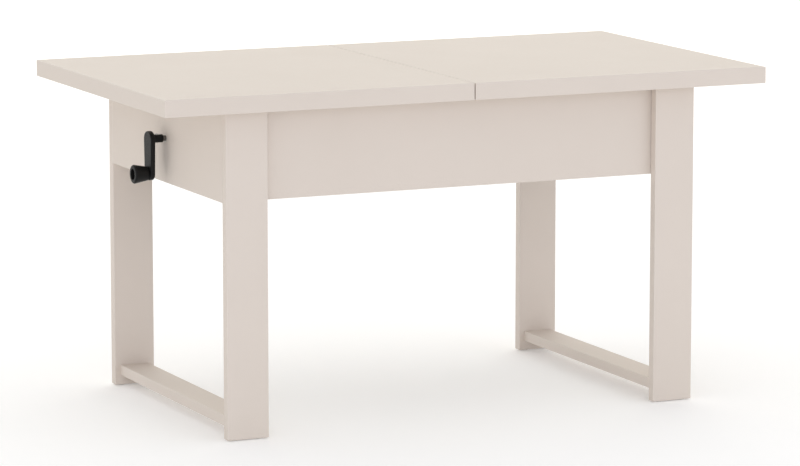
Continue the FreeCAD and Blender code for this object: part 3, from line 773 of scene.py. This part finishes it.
def make_box_screws(material):
    """Screws of the corner brackets, roller channels, leaf bearers and telescopic guides."""
    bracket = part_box("corner_brackets")[1]
    bracket_middle = middle_level("corner_brackets")
    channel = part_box("roller_channels")[1]
    roller_level = middle_level("roller_back_right")
    bearer_low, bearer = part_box("leaf_bearers")
    box_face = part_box("box_end_right")[1][0]
    guide_low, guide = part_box("guide_outer_members")
    guide_across = guide[1] - guide_width / 2
    guide_middle = middle_level("guide_outer_members")
    shape = bmesh.new()
    for _, end, side in corners():
        for row in (-1, 0, 1):
            level = bracket_middle + row * bracket_screw_spacing
            along = end * (bracket[0] - bracket_screw_inset)
            across = side * (bracket[1] - bracket_thickness)
            pan_screw(shape, (along, across, level), (0, -side, 0), **bracket_screw)
            along = end * (bracket[0] - bracket_thickness)
            across = side * (bracket[1] - bracket_screw_inset)
            pan_screw(shape, (along, across, level), (-end, 0, 0), **bracket_screw)
        for inset in channel_screw_insets:
            origin = (end * (channel[0] - inset), side * (channel[1] - channel_wall), roller_level)
            pan_screw(shape, origin, (0, -side, 0), **channel_screw)
        for inset in bearer_screw_insets:
            origin = (end * (bearer[0] - inset), side * (bearer[1] - bearer_screw_side_inset), bearer_low[2])
            pan_screw(shape, origin, (0, 0, -1), **bearer_screw)
        for level in (guide_low[2] + guide_screw_inset, guide_middle, guide[2] - guide_screw_inset):
            origin = (end * (box_face + guide_wall), side * guide_across, level)
            pan_screw(shape, origin, (end, 0, 0), **guide_screw)
    piece("box_screws", shape, material, "box")


def make_foot_glides(material):
    """Round-edged glides, each with a sunk pin hole."""
    leg_low, leg_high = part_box("leg_back_right")
    across = (leg_low[1] + leg_high[1]) / 2
    glide = [(glide_hole_depth, None), (glide_hole_depth, glide_hole_radius), (0, glide_hole_mouth)]
    glide += [(height, glide_radius - inward) for height, inward in glide_eases]
    glide += [(glide_height, glide_radius), (glide_height, None)]
    shape = bmesh.new()
    for _, end, side in corners():
        for along in (leg_low[0] + glide_inset, leg_high[0] - glide_inset):
            turned(shape, glide, (end * along, side * across, 0), (0, 0, 1))
    piece("rounded_foot_glides", shape, material, "base", ("foot_glides",))


def make_rollers(material):
    """Rollers with eased rims and a sunk web on both faces."""
    web = [(0, roller_bore), (0, roller_hub), (roller_web_depth, roller_web_inner),
           (roller_web_depth, roller_web_outer), (0, roller_rim_inner)]
    for corner, _, _ in corners():
        name = "roller_" + corner
        low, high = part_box(name)
        width = high[1] - low[1]
        rim = (high[2] - low[2]) / 2
        near = web + [(height, rim - inward) for height, inward in roller_eases]
        far = [(width - along, radius) for along, radius in reversed(near)]
        centre = middle(name)
        shape = bmesh.new()
        turned(shape, near + far, (centre[0], low[1], centre[2]), (0, 1, 0), roller_sides, closed=True)
        piece("webbed_" + name, shape, material, "wheel_" + corner, (name,))


def make_dowels(name, body, axis):
    """Three fluted dowels with eased tips, along one axis and in a row across it."""
    low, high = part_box(name)
    across = 1 - axis
    length = high[axis] - low[axis]
    level = middle_level(name)
    row_end = high[across] - dowel_radius
    flutes = fluted(dowel_radius, dowel_flute_depth, dowel_flutes)
    rings = [(0, None), (0, near_tip_radius), (near_tip_length, flutes), (length - far_tip_length, flutes),
             (length, far_tip_radius), (length, None)]
    shape = bmesh.new()
    for row in (-row_end, 0, row_end):
        origin = [0, 0, level]
        origin[axis] = low[axis]
        origin[across] = row
        direction = [0, 0, 0]
        direction[axis] = 1
        turned(shape, rings, origin, direction, dowel_sides)
    piece("fluted_" + name, shape, beech("fluted_" + name, axis), body, (name,))


def make_set_screw(material):
    """Socket screw that holds the boss of the crank on the shaft."""
    low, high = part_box("crank_set_screw")
    centre = middle("crank_set_screw")
    rings = [(0, None)] + socket_head((high[0] - low[0]) / 2, 0, high[2] - low[2], **set_screw)
    shape = bmesh.new()
    turned(shape, rings, (centre[0], centre[1], low[2]), (0, 0, 1))
    piece("socket_set_screw", shape, material, "crank", ("crank_set_screw",))


def make_knob_pin(material):
    """Shoulder pin of the knob, with a socket in its head."""
    low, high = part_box("crank_knob_pin")
    centre = middle("crank_knob_pin")
    length = high[0] - low[0]
    neck = length - knob_pin_head_height
    tip = knob_pin_radius - knob_pin_ease
    rings = [(0, None), (0, tip), (knob_pin_ease, knob_pin_radius), (neck, knob_pin_radius)]
    rings += socket_head((high[2] - low[2]) / 2, neck, length, **knob_pin_head)
    shape = bmesh.new()
    turned(shape, rings, (high[0], centre[1], centre[2]), (-1, 0, 0))
    piece("socket_knob_pin", shape, material, "crank", ("crank_knob_pin",))


def make_glide_strips(material):
    """Thin round-edged strips on the upper edges of the aprons, for the top to slide on."""
    half = [(strip_half_width - inward, height) for height, inward in strip_eases]
    outline = half + [(-across, height) for across, height in reversed(half)]
    for side_name, _ in SIDES:
        low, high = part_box("apron_" + side_name)
        across = (low[1] + high[1]) / 2
        shape = bmesh.new()
        rows = []
        for along in (low[0] + strip_end_room, high[0] - strip_end_room):
            points = [(along, across + aside, high[2] + height) for aside, height in outline]
            rows.append([shape.verts.new(point) for point in points])
        for part in range(len(outline)):
            after = (part + 1) % len(outline)
            shape.faces.new((rows[0][part], rows[0][after], rows[1][after], rows[1][part]))
        for row in rows:
            shape.faces.new(row)
        piece("glide_strip_" + side_name, shape, material, "box")


def make_fittings(shared):
    make_lead_screw(shared["black_steel"])
    make_cams(shared["zinc"])
    make_rail_screws(shared["zinc"])
    make_frame_bolts(shared["zinc"])
    make_frame_welds(shared["painted_steel"])
    make_arm_details(shared)
    make_box_screws(shared["zinc"])
    make_foot_glides(shared["nylon"])
    make_rollers(shared["nylon"])
    make_dowels("seam_dowels", "top_left", 0)
    make_dowels("leaf_dowels", "box", 1)
    make_set_screw(shared["zinc"])
    make_knob_pin(shared["black_steel"])
    make_glide_strips(shared["nylon"])


def make_floor():
    half = floor_side / 2
    points = [(-half, -half, 0), (half, -half, 0), (half, half, 0), (-half, half, 0)]
    mesh = bpy.data.meshes.new("floor")
    mesh.from_pydata(points, [], [(0, 1, 2, 3)])
    floor = bpy.data.objects.new("floor", mesh)
    bpy.context.scene.collection.objects.link(floor)
    material, _, _ = new_material("floor", Roughness=0.9, Base_Color=floor_colour,
                                  Emission_Color=sky_colour, Emission_Strength=floor_glow)
    mesh.materials.append(material)


def make_sky():
    world = bpy.data.worlds.new("studio")
    world.use_nodes = True
    background = world.node_tree.nodes["Background"]
    background.inputs["Color"].default_value = sky_colour
    background.inputs["Strength"].default_value = sky_strength
    bpy.context.scene.world = world


def make_lights():
    for name, (location, size, power, colour) in soft_boxes.items():
        data = bpy.data.lights.new(name, "AREA")
        data.shape = "RECTANGLE"
        data.size, data.size_y = size
        data.energy = power
        data.color = colour
        light = bpy.data.objects.new(name, data)
        light.location = location
        towards = Vector(table_middle) - Vector(location)
        light.rotation_euler = towards.to_track_quat("-Z", "Y").to_euler()
        bpy.context.scene.collection.objects.link(light)


def make_camera():
    data = bpy.data.cameras.new("camera")
    data.sensor_width = sensor_width
    data.lens = sensor_width * focal_pixels / image_width
    data.clip_end = camera_reach
    camera = bpy.data.objects.new("camera", data)
    level = math.cos(camera_pitch)
    ahead = Vector((math.sin(camera_yaw) * level, math.cos(camera_yaw) * level, -math.sin(camera_pitch)))
    camera.location = camera_place
    camera.rotation_euler = ahead.to_track_quat("-Z", "Y").to_euler()
    bpy.context.scene.collection.objects.link(camera)
    bpy.context.scene.camera = camera


make_fittings(dress_nodes())
make_floor()
make_sky()
make_lights()
make_camera()
bpy.context.scene.view_settings.view_transform = "Standard"
